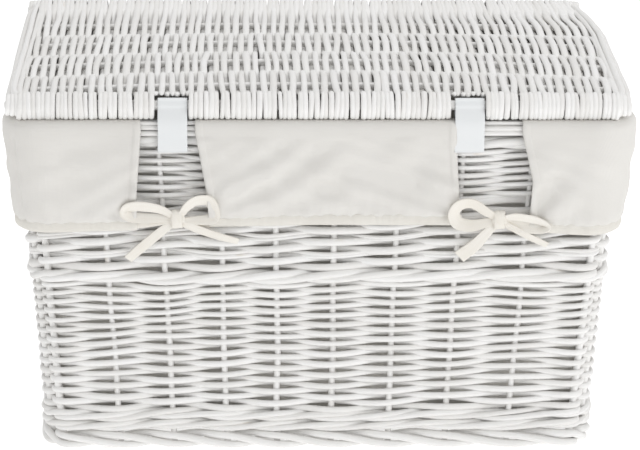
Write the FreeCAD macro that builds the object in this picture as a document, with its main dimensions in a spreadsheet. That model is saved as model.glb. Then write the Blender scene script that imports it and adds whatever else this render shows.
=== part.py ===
import FreeCAD, Part
import math
import os

import Sketcher

# A wicker storage trunk: a tapered willow basket, a flat woven lid on two band hinges, and a cotton liner
# whose skirt folds out over the rim. X runs along the trunk, Z is up, and the hinge side faces -Y.
# The origin is at the middle of the foot, on the surface that the trunk stands on. Lengths are millimetres.

doc = FreeCAD.newDocument("wicker_trunk")
V = FreeCAD.Vector
BEYOND = 20  # how far a cutting tool runs past what it cuts
PAST = 1  # the same, where a neighbour is close

# ---------------------------------------------------------------- driving dimensions
DIMENSIONS = [
    # basket: nominal outer surface of the woven wall, halves of its length and depth
    ("foot_half_x", 268.0, "half length at the foot"),
    ("foot_half_y", 165.0, "half depth at the foot"),
    ("rim_half_x", 290.0, "half length at the rim"),
    ("rim_half_y", 186.0, "half depth at the rim"),
    ("rim_top", 340.5, "height of the rim"),
    ("corner_radius", 32.0, "corner radius of the wall, outside"),
    ("wall", 14.0, "thickness of the woven wall"),
    # heights where one kind of weaving ends and the next begins
    ("foot_top", 19.0, "top of the foot border"),
    ("bottom_wale_top", 40.0, "top of the bottom wale"),
    ("lower_weave_top", 175.0, "top of the thin rows"),
    ("middle_wale_top", 189.0, "top of the middle wale"),
    ("upper_weave_top", 256.0, "top of the thick rows"),
    ("top_weave_top", 314.0, "underside of the rim border"),
    ("foot_proud", 3.0, "how far the foot border stands out of the wall"),
    ("wale_proud", 2.0, "how far the wales stand out"),
    ("thick_rows_proud", 2.0, "how far the thick rows stand out"),
    ("rim_proud", 4.0, "how far the rim border stands out"),
    # stakes and base
    ("stake_radius", 3.0, "radius of a side stake"),
    ("long_pitch", 57.0, "distance between the stakes of the far side"),
    ("short_pitch", 48.0, "distance between the stakes of a short side"),
    ("stake_foot", 4.0, "height where a stake begins"),
    ("stake_top", 311.4, "height where a stake ends under the rim border, whose rods are its bent tips"),
    ("post_radius", 3.6, "radius of a corner post"),
    ("post_turn", 28.0, "degrees round the corner from each of its sides to the nearer post"),
    ("base_thick", 12.0, "thickness of the woven base"),
    ("base_rest", 6.0, "how far the base lies on the foot border"),
    ("base_stick_radius", 3.5, "radius of a stick in the base"),
    ("base_stick_pitch", 62.0, "distance between the base's sticks"),
    # lid
    ("lid_half_x", 300.0, "half length of the lid"),
    ("lid_half_y", 192.0, "half depth of the lid"),
    ("lid_axis_high", 355.0, "height of the lid's border rods"),
    ("roll_radius", 12.0, "radius of the weavers' wrap round a long border rod"),
    ("edge_radius", 9.0, "radius of the wrap round a short border rod"),
    ("rod_radius", 5.0, "radius of a border rod"),
    ("lid_thick", 12.0, "thickness of the lid's weave"),
    ("lid_stick_radius", 3.5, "radius of a lengthwise stick in the lid"),
    ("lid_stick_pitch", 79.0, "distance between the lid's sticks"),
    ("lid_stick_first", -134.0, "place of the stick nearest the hinge"),
    # hinge bands
    ("band_place", 139.0, "distance of each band from the middle"),
    ("band_width", 28.0, "width of a band"),
    ("band_thick", 1.6, "thickness of a band"),
    ("band_gap", 0.4, "gap between a band and what it goes round"),
    ("bare_width", 40.0, "length of border rod left bare at a band"),
    ("bare_reach", 15.0, "gap between the border rod's middle and the weave at a band"),
    # liner
    ("cloth", 1.2, "thickness of the cloth"),
    ("cloth_gap", 0.5, "gap between the liner and the wood"),
    ("fold_gap", 0.3, "gap between the rim and the cloth folded over it"),
    ("bag_gap", 3.0, "gap between the inner bag and the wall, which the bands pass through"),
    ("skirt_low", 240.0, "height where the skirt meets its hem"),
    ("hem_low", 230.0, "bottom of the hem"),
    ("skirt_top_out", 5.9, "how far the skirt stands out at the rim"),
    ("skirt_low_out", 6.4, "how far the skirt stands out at the hem"),
    ("hem_thick", 4.0, "thickness of the hem casing"),
    ("tape_thick", 1.2, "thickness of the drawtape"),
    ("tape_width", 7.0, "width of the drawtape inside the casing"),
    ("notch_left_from", -170.0, "left notch, outer side"),
    ("notch_left_to", -113.0, "left notch, inner side"),
    ("notch_right_from", 123.5, "right notch, inner side"),
    ("notch_right_to", 190.0, "right notch, outer side"),
    # bows
    ("bow_left_x", -135.0, "place of the left knot"),
    ("bow_right_x", 170.0, "place of the right knot"),
    ("bow_high", 244.0, "height of the knots"),
    ("knot_size", 13.0, "width and height of a knot"),
    ("knot_thick", 5.4, "thickness of a knot"),
    ("loop_length", 40.0, "length of a bow's loop"),
    ("loop_high", 13.0, "height of a bow's loop"),
    ("loop_deep", 3.6, "depth of a bow's loop, front to back"),
    ("tail_length", 62.0, "length of a bow's tail"),
    ("bow_tape", 9.5, "width of the tape in a bow"),
]

sheet = doc.addObject("Spreadsheet::Sheet", "dims")
for row, (alias, value, note) in enumerate(DIMENSIONS, start=1):
    sheet.set(f"A{row}", note)
    sheet.set(f"B{row}", str(value))
    sheet.setAlias(f"B{row}", alias)
doc.recompute()


def size(alias):
    """A driving dimension's value."""
    return float(sheet.get(alias))


def bind(obj, **expressions):
    """Binds properties to expressions; a double underscore in a name stands for a dot."""
    for name, text in expressions.items():
        obj.setExpression(name.replace("__", "."), text)
    return obj


# ---------------------------------------------------------------- building blocks
def cylinder(name, radius, length, start, direction):
    """A round rod from start along direction; radius and length are expressions."""
    rod = doc.addObject("Part::Cylinder", name)
    bind(rod, Radius=radius, Height=length)
    rod.Placement = FreeCAD.Placement(start, FreeCAD.Rotation(V(0, 0, 1), direction))
    return rod


def rod_along_x(name, radius, half_length, y, z):
    """A rod along X, centred on the YZ plane; every size is an expression."""
    rod = cylinder(name, radius, f"2 * ({half_length})", V(0, 0, 0), V(1, 0, 0))
    return bind(
        rod,
        Placement__Base__x=f"-({half_length})",
        Placement__Base__y=y,
        Placement__Base__z=z,
    )


def rod_along_y(name, radius, half_length, x, z):
    """A rod along Y, centred on the XZ plane; every size is an expression."""
    rod = cylinder(name, radius, f"2 * ({half_length})", V(0, 0, 0), V(0, 1, 0))
    return bind(
        rod,
        Placement__Base__x=x,
        Placement__Base__y=f"-({half_length})",
        Placement__Base__z=z,
    )


def box(name, x_from, x_to, y_from, y_to, z_from, z_to):
    """A box between six expressions."""
    solid = doc.addObject("Part::Box", name)
    return bind(
        solid,
        Length=f"({x_to}) - ({x_from})",
        Width=f"({y_to}) - ({y_from})",
        Height=f"({z_to}) - ({z_from})",
        Placement__Base__x=x_from,
        Placement__Base__y=y_from,
        Placement__Base__z=z_from,
    )


def group(name, members):
    compound = doc.addObject("Part::Compound", name)
    compound.Links = members
    return compound


def cut(name, base, tool):
    result = doc.addObject("Part::Cut", name)
    result.Base = base
    result.Tool = tool
    return result


def cut_each(name, base, tools):
    """Cuts several objects away, one after the other."""
    for number, tool in enumerate(tools):
        base = cut(f"{name}_{number}", base, tool)
    return base


def common(name, base, tool):
    result = doc.addObject("Part::Common", name)
    result.Base = base
    result.Tool = tool
    return result


def wall_half(axis, height, outset):
    """Half the wall's outer length (x) or depth (y) at a height, plus an outset."""
    foot, rim = f"dims.foot_half_{axis}", f"dims.rim_half_{axis}"
    return f"{foot} + ({rim} - {foot}) * ({height}) / dims.rim_top + ({outset})"


def rounded_rectangle(name, height, outset):
    """A horizontal rounded rectangle that follows the wall at a height, set out by an amount."""
    sketch = doc.addObject("Sketcher::SketchObject", name)
    x, y, r = 200.0, 100.0, 20.0  # a first guess, which the constraints then move
    corners = [(x, y), (-x, y), (-x, -y), (x, -y)]
    lines = []
    arcs = []
    for number, (cx, cy) in enumerate(corners):
        centre = V(math.copysign(x - r, cx), math.copysign(y - r, cy), 0)
        start = math.pi / 2 * number
        circle = Part.Circle(centre, V(0, 0, 1), r)
        arcs.append(sketch.addGeometry(Part.ArcOfCircle(circle, start, start + math.pi / 2), False))
    for number in range(4):
        here, there = sketch.Geometry[arcs[number]], sketch.Geometry[arcs[(number + 1) % 4]]
        lines.append(sketch.addGeometry(Part.LineSegment(here.EndPoint, there.StartPoint), False))
    rule = Sketcher.Constraint
    for number in range(4):
        sketch.addConstraint(rule("Tangent", arcs[number], 2, lines[number], 1))
        sketch.addConstraint(rule("Tangent", lines[number], 2, arcs[(number + 1) % 4], 1))
    for number in (1, 2, 3):
        sketch.addConstraint(rule("Equal", arcs[0], arcs[number]))
    top, left, bottom, right = lines
    for flat in (top, bottom):
        sketch.addConstraint(rule("Horizontal", flat))
    for upright in (left, right):
        sketch.addConstraint(rule("Vertical", upright))
    sizes = {
        "radius": (rule("Radius", arcs[0], r), f"dims.corner_radius + ({outset})"),
        "right": (rule("DistanceX", -1, 1, right, 1, x), wall_half("x", height, outset)),
        "left": (rule("DistanceX", left, 1, -1, 1, x), wall_half("x", height, outset)),
        "back": (rule("DistanceY", -1, 1, top, 1, y), wall_half("y", height, outset)),
        "front": (rule("DistanceY", bottom, 1, -1, 1, y), wall_half("y", height, outset)),
    }
    for label, (constraint, expression) in sizes.items():
        index = sketch.addConstraint(constraint)
        sketch.renameConstraint(index, label)
        sketch.setExpression(f"Constraints.{label}", expression)
    return bind(sketch, Placement__Base__z=height)


def tapered_block(name, low, high, low_outset, high_outset=None):
    """A solid between two heights that follows the wall, with rounded corners."""
    loft = doc.addObject("Part::Loft", name)
    loft.Sections = [
        rounded_rectangle(f"{name}_low", low, low_outset),
        rounded_rectangle(f"{name}_high", high, low_outset if high_outset is None else high_outset),
    ]
    loft.Solid = True
    loft.Ruled = True
    return loft


def ring(name, low, high, outside, inside):
    """A closed ring round the trunk between two heights, from one outset to another."""
    outer = tapered_block(f"{name}_outer", low, high, outside)
    inner = tapered_block(f"{name}_inner", f"{low} - {PAST}", f"{high} + {PAST}", inside)
    return cut(f"{name}_ring", outer, inner)


nodes = []


def node(name, obj):
    """Marks an object as one sub-part of the trunk, under the name of its file."""
    obj.Label = name
    nodes.append((name, obj))
    return obj


# ---------------------------------------------------------------- basket: stakes and posts
def leaning_rod(name, radius, low_point, high_point):
    """An upright rod that leans with the wall."""
    run = high_point - low_point
    return cylinder(name, f"dims.{radius}", f"{run.Length}", low_point, run)


def wall_point(share_x, share_y, height):
    """A point in the middle of the wall's thickness, by its share of the half length and half depth."""
    rise = height / size("rim_top")
    half_x = size("foot_half_x") + (size("rim_half_x") - size("foot_half_x")) * rise
    half_y = size("foot_half_y") + (size("rim_half_y") - size("foot_half_y")) * rise
    inset = size("wall") / 2
    return V(share_x * (half_x - inset), share_y * (half_y - inset), height)


# The stakes of the hinge side stand a little unevenly, as a weaver sets them; the others are evenly
# pitched. Places are at half the height of the wall.
HINGE_SIDE_STAKES = [-201, -147, -92, -41, 14, 72, 130, 194]
FAR_SIDE_STAKES = 8
SHORT_SIDE_STAKES = 6


def stake_shares(count, pitch, half):
    """Evenly pitched places along one side, as shares of its half length."""
    return [(i - (count - 1) / 2) * size(pitch) / half for i in range(count)]


low_height, high_height = size("stake_foot"), size("stake_top")
half_way = wall_point(1, 1, size("rim_top") / 2)
places = [(place / half_way.x, -1) for place in HINGE_SIDE_STAKES]
places += [(share, 1) for share in stake_shares(FAR_SIDE_STAKES, "long_pitch", half_way.x)]
for side in (-1, 1):
    places += [(side, share) for share in stake_shares(SHORT_SIDE_STAKES, "short_pitch", half_way.y)]
stakes = [
    leaning_rod(f"stake_{i}", "stake_radius", wall_point(*p, low_height), wall_point(*p, high_height))
    for i, p in enumerate(places)
]
side_stakes = node("side_stakes", group("stake_group", stakes))

# A pair of posts stands on the wall's middle line in each rounded corner, one near each side.
posts = []
corner_line = size("corner_radius") - size("wall") / 2
for sx, sy in [(1, 1), (-1, 1), (-1, -1), (1, -1)]:
    for degrees in (size("post_turn"), 90 - size("post_turn")):
        turn = math.radians(degrees)
        inward = V(-sx * corner_line * (1 - math.sin(turn)), -sy * corner_line * (1 - math.cos(turn)), 0)
        low_point = wall_point(sx, sy, low_height) + inward
        high_point = wall_point(sx, sy, high_height) + inward
        posts.append(leaning_rod(f"post_{len(posts)}", "post_radius", low_point, high_point))
corner_posts = node("corner_posts", group("post_group", posts))
uprights = group("uprights", [side_stakes, corner_posts])


# ---------------------------------------------------------------- basket: rings of weaving
def woven_ring(name, low, high, proud="0", inside="-dims.wall"):
    """One stretch of weaving round the trunk, with channels for the uprights it goes round."""
    whole = ring(name, f"dims.{low}" if low else "0", f"dims.{high}", proud, inside)
    return cut(f"{name}_woven", whole, uprights)


# A slot under the rim border lets each band through the wall.
SLOT_SIDE_GAP = 1  # beside the band, each side
band_slots = []
for side, sign in (("left", "-"), ("right", "")):
    band_slots.append(
        box(
            f"{side}_band_slot",
            f"{sign}dims.band_place - dims.band_width / 2 - {SLOT_SIDE_GAP}",
            f"{sign}dims.band_place + dims.band_width / 2 + {SLOT_SIDE_GAP}",
            f"-dims.rim_half_y - {BEYOND}",
            f"-dims.rim_half_y + dims.wall + {BEYOND}",
            "dims.top_weave_top - dims.band_thick - 2 * dims.band_gap",
            "dims.top_weave_top",
        )
    )

# The foot border reaches further in than the wall, and the base lies on it.
foot_inside = "-dims.wall - dims.base_rest"
node("foot_border", woven_ring("foot", None, "foot_top", "dims.foot_proud", foot_inside))
node("bottom_wale", woven_ring("wale_a", "foot_top", "bottom_wale_top", "dims.wale_proud"))
node("lower_side_weave", woven_ring("thin_rows", "bottom_wale_top", "lower_weave_top"))
node("middle_wale", woven_ring("wale_b", "lower_weave_top", "middle_wale_top", "dims.wale_proud"))
node(
    "upper_side_weave",
    woven_ring("thick_rows", "middle_wale_top", "upper_weave_top", "dims.thick_rows_proud"),
)
top_rows = woven_ring("top_rows", "upper_weave_top", "top_weave_top")
node("top_side_weave", cut("top_rows_slotted", top_rows, group("slots", band_slots)))
node("rim_border", woven_ring("rim", "top_weave_top", "rim_top", "dims.rim_proud"))

# ---------------------------------------------------------------- basket: base
base_middle = "(dims.foot_top + dims.base_thick / 2)"
BASE_STICKS = 5
STICK_END_GAP = 2  # between a base stick's end and the wall
base_sticks = []
for number in range(BASE_STICKS):
    place = f"{number - (BASE_STICKS - 1) / 2} * dims.base_stick_pitch"
    base_sticks.append(
        rod_along_x(
            f"base_stick_{number}",
            "dims.base_stick_radius",
            f"dims.foot_half_x - dims.wall - {STICK_END_GAP}",
            place,
            base_middle,
        )
    )
base_group = node("base_sticks", group("base_stick_group", base_sticks))
base_plate = tapered_block(
    "base_plate", "dims.foot_top", "dims.foot_top + dims.base_thick", "-dims.wall - dims.cloth_gap"
)
node("base_weave", cut("base_woven", base_plate, base_group))

# ---------------------------------------------------------------- lid
inner_x = "(dims.lid_half_x - dims.edge_radius)"
inner_y = "(dims.lid_half_y - dims.roll_radius)"
lid_high = "dims.lid_axis_high"
rod_end = "dims.lid_half_x"

hinge_rod = node(
    "lid_hinge_rod", rod_along_x("hinge_rod", "dims.rod_radius", rod_end, f"-{inner_y}", lid_high)
)
far_rod = node(
    "lid_far_rod", rod_along_x("far_rod", "dims.rod_radius", rod_end, inner_y, lid_high)
)
side_reach = f"({inner_y} - dims.rod_radius)"
left_rod = node(
    "lid_left_rod", rod_along_y("left_rod", "dims.rod_radius", side_reach, f"-{inner_x}", lid_high)
)
right_rod = node(
    "lid_right_rod", rod_along_y("right_rod", "dims.rod_radius", side_reach, inner_x, lid_high)
)
side_rods = [left_rod, right_rod]

# The bare stretches of the hinge-side rod, where the bands go round it.
bare_stretches = []
for side, sign in (("left", "-"), ("right", "")):
    bare_stretches.append(
        box(
            f"{side}_bare_stretch",
            f"{sign}dims.band_place - dims.bare_width / 2",
            f"{sign}dims.band_place + dims.bare_width / 2",
            f"-dims.lid_half_y - {BEYOND}",
            f"-{inner_y} + dims.bare_reach",
            f"{lid_high} - {BEYOND}",
            f"{lid_high} + {BEYOND}",
        )
    )

hinge_roll = rod_along_x("hinge_roll", "dims.roll_radius", "dims.lid_half_x", f"-{inner_y}", lid_high)
far_roll = rod_along_x("far_roll", "dims.roll_radius", "dims.lid_half_x", inner_y, lid_high)
hinge_tools = [hinge_rod, *side_rods, *bare_stretches]
node("lid_hinge_wrap", cut_each("hinge_wrapped", hinge_roll, hinge_tools))
node("lid_far_wrap", cut_each("far_wrapped", far_roll, [far_rod, *side_rods]))

edge_reach = f"({inner_y} - dims.roll_radius)"
left_roll = rod_along_y("left_roll", "dims.edge_radius", edge_reach, f"-{inner_x}", lid_high)
right_roll = rod_along_y("right_roll", "dims.edge_radius", edge_reach, inner_x, lid_high)
node("lid_left_edge", cut("left_wrapped", left_roll, left_rod))
node("lid_right_edge", cut("right_wrapped", right_roll, right_rod))

LID_STICKS = 4
lid_sticks = []
for number in range(LID_STICKS):
    lid_sticks.append(
        rod_along_x(
            f"lid_stick_{number}",
            "dims.lid_stick_radius",
            f"{inner_x} - dims.edge_radius",
            f"dims.lid_stick_first + {number} * dims.lid_stick_pitch",
            lid_high,
        )
    )
node("lid_sticks", group("lid_stick_group", lid_sticks))

lid_plate = box(
    "lid_plate",
    f"-{inner_x}",
    inner_x,
    f"-{inner_y}",
    inner_y,
    f"{lid_high} - dims.lid_thick / 2",
    f"{lid_high} + dims.lid_thick / 2",
)
plate_tools = [hinge_roll, far_roll, left_roll, right_roll, *side_rods, *lid_sticks, *bare_stretches]
node("lid_weave", cut_each("lid_woven", lid_plate, plate_tools))


# ---------------------------------------------------------------- hinge bands
BAND_BEND = 1.0  # the band's inner radius at the rim's edges


def tangent_run(centre_a, radius_a, centre_b, radius_b):
    """The ends of the straight run in the YZ plane that touches two circles on their left sides."""
    run = centre_b - centre_a
    along = V(0, run.y, run.z).normalize()
    across = V(0, -along.z, along.y)
    slope = (radius_a - radius_b) / run.Length
    normal = along * slope + across * math.sqrt(1 - slope * slope)
    return centre_a + normal * radius_a, centre_b + normal * radius_b


def wall_inside(height):
    """How far the wall's inner face is from the middle, on the hinge side."""
    return wall_point(0, 1, height).y - size("wall") / 2


def band_outline(name, extra):
    """The outline, in the YZ plane, of a loop round the border rod and the rim border.

    The loop goes round five circles in turn: one at each corner of the rim border, and the border rod.
    Extra is how far the outline stands outside the band's inner face."""
    rod_middle = V(0, -(size("lid_half_y") - size("roll_radius")), size("lid_axis_high"))
    reach = size("band_gap") + extra
    bend = BAND_BEND + extra
    front = -(size("rim_half_y") + size("rim_proud")) - reach + bend
    back_low = -wall_inside(size("top_weave_top")) + reach - bend
    back_high = -wall_inside(size("rim_top")) + reach - bend
    low = size("top_weave_top") - reach + bend
    high = size("rim_top") + reach - bend
    circles = [
        (V(0, front, low), bend),
        (V(0, front, high), bend),
        (rod_middle, size("rod_radius") + reach),
        (V(0, back_high, high), bend),
        (V(0, back_low, low), bend),
    ]
    runs = []
    for number, (centre, radius) in enumerate(circles):
        next_centre, next_radius = circles[(number + 1) % len(circles)]
        runs.append(tangent_run(centre, radius, next_centre, next_radius))
    edges = []
    for number, (start, end) in enumerate(runs):
        edges.append(Part.LineSegment(start, end).toShape())
        centre, radius = circles[(number + 1) % len(circles)]
        leave = runs[(number + 1) % len(runs)][0]
        middle = (end - centre) + (leave - centre)
        edges.append(Part.Arc(end, centre + middle.normalize() * radius, leave).toShape())
    outline = doc.addObject("Part::Feature", name)
    outline.Shape = Part.Wire(Part.__sortEdges__(edges))
    return outline


def hinge_band(side, sign):
    """A flat band, closed in a loop, as wide as the sheet says."""
    solids = []
    for part_name, extra in (("outside", size("band_thick")), ("inside", 0.0)):
        solid = doc.addObject("Part::Extrusion", f"{side}_band_{part_name}")
        solid.Base = band_outline(f"{side}_band_{part_name}_line", extra)
        solid.DirMode = "Custom"
        solid.Dir = V(1, 0, 0)
        solid.Solid = True
        bind(
            solid,
            LengthFwd="dims.band_width",
            Placement__Base__x=f"{sign}dims.band_place - dims.band_width / 2",
        )
        solids.append(solid)
    return cut(f"{side}_band", *solids)


node("hinge_band_left", hinge_band("left", "-"))
node("hinge_band_right", hinge_band("right", ""))

# ---------------------------------------------------------------- liner
bag_out = "-dims.wall - dims.bag_gap"
bag_in = f"{bag_out} - dims.cloth"
bag_floor = "dims.foot_top + dims.base_thick + dims.cloth_gap"
fold_low = "dims.rim_top + dims.fold_gap"
fold_high = f"{fold_low} + dims.cloth"
bag_outer = tapered_block("bag_outer", bag_floor, fold_low, bag_out)
bag_inner = tapered_block("bag_inner", f"{bag_floor} + dims.cloth", f"{fold_low} + {PAST}", bag_in)
node("liner_bag", cut("liner_bag_shell", bag_outer, bag_inner))

# The skirt starts at the bag's mouth, lies on the rim and hangs down outside it.
skirt_outer = tapered_block(
    "skirt_outer", "dims.skirt_low", fold_high, "dims.skirt_low_out", "dims.skirt_top_out"
)
skirt_inner = tapered_block(
    "skirt_inner",
    f"dims.skirt_low - {PAST}",
    fold_low,
    "dims.skirt_low_out - dims.cloth",
    "dims.skirt_top_out - dims.cloth",
)
skirt_mouth = tapered_block("skirt_mouth", f"{fold_low} - {PAST}", f"{fold_high} + {PAST}", bag_in)
skirt_shell = cut("skirt_shell", cut("skirt_hollow", skirt_outer, skirt_inner), skirt_mouth)

hem_ring = ring(
    "hem",
    "dims.hem_low",
    "dims.skirt_low",
    "dims.skirt_low_out",
    "dims.skirt_low_out - dims.hem_thick",
)
tape_out = "dims.skirt_low_out - (dims.hem_thick - dims.tape_thick) / 2"
tape_low = "(dims.hem_low + dims.skirt_low - dims.tape_width) / 2"
tape_ring = ring(
    "tape",
    tape_low,
    f"{tape_low} + dims.tape_width",
    tape_out,
    f"{tape_out} - dims.tape_thick",
)
casing_ring = cut("casing_ring", hem_ring, tape_ring)


def hinge_side_space(name, x_from, x_to):
    """The space round the skirt's hinge side between two places along X."""
    return box(
        name,
        x_from,
        x_to,
        f"-dims.rim_half_y - {2 * BEYOND}",
        f"-dims.rim_half_y + {2 * BEYOND}",
        f"dims.hem_low - {BEYOND}",
        f"dims.rim_top + {BEYOND}",
    )


BETWEEN_NOTCHES = ("dims.notch_left_to", "dims.notch_right_from")
ACROSS_NOTCHES = ("dims.notch_left_from", "dims.notch_right_to")
for name, whole in (("skirt", skirt_shell), ("hem_casing", casing_ring), ("drawtape", tape_ring)):
    middle = hinge_side_space(f"{name}_middle_space", *BETWEEN_NOTCHES)
    node(f"{name}_middle", common(f"{name}_between", whole, middle))
    front = hinge_side_space(f"{name}_front_space", *ACROSS_NOTCHES)
    node(f"{name}_round", cut(f"{name}_outside", whole, front))


# ---------------------------------------------------------------- bows
LOOP_GAP = 0.6  # between a loop and the tails behind the knot
KNOT_ROUNDING = 1.8  # radius of a knot's edges
KNOT_BACK_GAP = 0.2  # between a knot and the hem behind it


def turned(place, turn, offset):
    """A placement at a point, turned in the XZ plane from +X, and shifted along its own axes."""
    rotation = FreeCAD.Rotation(V(0, 1, 0), -turn)
    return FreeCAD.Placement(place + rotation.multVec(offset), rotation)


def flat_strip(name, place, turn):
    """A flat tail of tape that starts behind the knot."""
    strip = doc.addObject("Part::Box", name)
    bind(strip, Length="dims.tail_length", Width="dims.tape_thick", Height="dims.bow_tape")
    strip.Placement = turned(place, turn, V(0, -size("tape_thick"), -size("bow_tape") / 2))
    return strip


def bow_loop(name, place, turn):
    """A loop of tape seen from the front as a long eye: a flattened ring with round ends."""
    long_half, high_half, deep = size("loop_length") / 2, size("loop_high") / 2, size("loop_deep")
    straight = long_half - high_half
    shapes = []
    for inset in (0.0, size("tape_thick")):
        end = high_half - inset
        slab = Part.makeBox(2 * straight, deep, 2 * end, V(-straight, 0, -end))
        ends = [
            Part.makeCylinder(end, deep, V(x, 0, 0), V(0, 1, 0)) for x in (-straight, straight)
        ]
        shapes.append(slab.fuse(ends).removeSplitter())
    loop = doc.addObject("Part::Feature", name)
    loop.Shape = shapes[0].cut(shapes[1])
    behind = size("tape_thick") + LOOP_GAP + deep
    loop.Placement = turned(place, turn, V(size("knot_size") / 2 + long_half, -behind, 0))
    return loop


# Directions in the XZ plane, in degrees from +X, of each bow's loops and tails.
BOWS = {
    "left": {"loops": (170, 38), "tails": (-142, -27)},
    "right": {"loops": (165, -2), "tails": (-138, -25)},
}
for side, directions in BOWS.items():
    wall_here = wall_point(0, -1, size("bow_high")).y - size("wall") / 2
    place = V(
        size(f"bow_{side}_x"), wall_here - size("skirt_low_out") - KNOT_BACK_GAP, size("bow_high")
    )
    half = size("knot_size") / 2
    block = doc.addObject("Part::Box", f"{side}_knot_block")
    bind(block, Length="dims.knot_size", Width="dims.knot_thick", Height="dims.knot_size")
    block.Placement = FreeCAD.Placement(
        place + V(-half, -size("knot_thick"), -half), FreeCAD.Rotation()
    )
    knot = doc.addObject("Part::Fillet", f"{side}_knot")
    knot.Base = block
    knot.Edges = [(edge, KNOT_ROUNDING, KNOT_ROUNDING) for edge in range(1, 13)]
    strips = [flat_strip(f"{side}_tail_{i}", place, turn) for i, turn in enumerate(directions["tails"])]
    loops = [bow_loop(f"{side}_loop_{i}", place, turn) for i, turn in enumerate(directions["loops"])]
    node(f"bow_{side}_knot", knot)
    for what, pieces in (("loops", loops), ("tails", strips)):
        trimmed = [cut(f"{side}_{what}_cut_{i}", piece, knot) for i, piece in enumerate(pieces)]
        node(f"bow_{side}_{what}", group(f"{side}_{what}_group", trimmed))

# ---------------------------------------------------------------- checks and export
doc.recompute()
for obj in doc.Objects:
    if "Invalid" in obj.State or "Error" in obj.State:
        raise RuntimeError(f"{obj.Name} failed: {obj.State}")
os.makedirs("parts", exist_ok=True)
for name, obj in nodes:
    shape = obj.Shape
    if shape.isNull() or not shape.isValid() or not shape.Solids:
        raise RuntimeError(f"{name} has no valid solid")
    shape.exportStep(f"parts/{name}.step")
    extent = shape.optimalBoundingBox(False)
    print(
        f"{name:18s} {len(shape.Solids):3d} solids {shape.Volume / 1000:9.1f} cm3  "
        f"x {extent.XMin:7.1f} {extent.XMax:6.1f}  y {extent.YMin:7.1f} {extent.YMax:6.1f}  "
        f"z {extent.ZMin:6.1f} {extent.ZMax:6.1f}"
    )
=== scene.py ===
import math

import bpy
import numpy as np
from mathutils import Matrix, Vector


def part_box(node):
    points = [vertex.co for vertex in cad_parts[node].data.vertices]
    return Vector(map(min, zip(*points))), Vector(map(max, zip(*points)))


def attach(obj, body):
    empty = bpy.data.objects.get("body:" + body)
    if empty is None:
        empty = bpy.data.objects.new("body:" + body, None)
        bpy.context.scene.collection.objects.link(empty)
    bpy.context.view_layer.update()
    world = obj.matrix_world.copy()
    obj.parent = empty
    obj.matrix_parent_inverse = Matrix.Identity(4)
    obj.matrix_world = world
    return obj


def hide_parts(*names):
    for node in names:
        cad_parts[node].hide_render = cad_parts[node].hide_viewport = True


# A wicker storage trunk: white-painted willow, a cotton liner and two smooth bands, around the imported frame.
# Lengths are metres, and MM turns millimetres into them. s runs once round the wall from the front left
# corner, and t counts uprights round it.
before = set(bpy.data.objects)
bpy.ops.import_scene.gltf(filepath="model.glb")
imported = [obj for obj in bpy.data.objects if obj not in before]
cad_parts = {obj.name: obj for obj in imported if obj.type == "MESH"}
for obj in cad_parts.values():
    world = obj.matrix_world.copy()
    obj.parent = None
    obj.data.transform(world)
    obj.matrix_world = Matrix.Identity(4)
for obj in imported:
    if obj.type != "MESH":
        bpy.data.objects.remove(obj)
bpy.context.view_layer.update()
RNG = np.random.default_rng(20)
TAU = 2 * math.pi
MM = 0.001

# ---- the wall's line
WALL = 14 * MM
CORNER = 32 * MM
STAKE = 3 * MM
LOW_HALF = np.array(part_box("lower_side_weave")[1])
TOP_HALF = np.array(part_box("top_side_weave")[1])
LONG = 2 * (LOW_HALF[0] - CORNER)
SHORT = 2 * (LOW_HALF[1] - CORNER)
ARC = CORNER * math.pi / 2
LENGTHS = np.array([LONG, ARC, SHORT, ARC] * 2)
BREAKS = np.concatenate([[0], np.cumsum(LENGTHS)])
ROUND = BREAKS[-1]
CORNER_X = np.array([-1, 1, 1, -1, -1])
CORNER_Y = np.array([-1, -1, 1, 1, -1])


def half(axis, z):
    """Half the wall's outer length (0) or depth (1) at a height."""
    rise = (z - LOW_HALF[2]) / (TOP_HALF[2] - LOW_HALF[2])
    return LOW_HALF[axis] + (TOP_HALF[axis] - LOW_HALF[axis]) * rise


def wall(s, z, out):
    """Points at s on the wall at a height, set out from its outer face."""
    s, z, out = np.broadcast_arrays(np.mod(s, ROUND), z, out)
    k = np.clip(np.searchsorted(BREAKS, s, side="right") - 1, 0, 7)
    f = (s - BREAKS[k]) / LENGTHS[k]
    side, bend = k // 2, k % 2 == 1
    along = np.where(bend, 1.0, f)
    phi = -math.pi / 2 + math.pi / 2 * (side + np.where(bend, f, 0.0))
    sx = CORNER_X[side] + (CORNER_X[side + 1] - CORNER_X[side]) * along
    sy = CORNER_Y[side] + (CORNER_Y[side + 1] - CORNER_Y[side]) * along
    r = CORNER + out
    x = sx * (half(0, z) - CORNER) + r * np.cos(phi)
    y = sy * (half(1, z) - CORNER) + r * np.sin(phi)
    return np.stack([x, y, z], -1)


def front_s(x):
    """The s of a place on the front, by its x half way up."""
    return (x / (LONG / 2) + 1) / 2 * LONG


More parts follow.
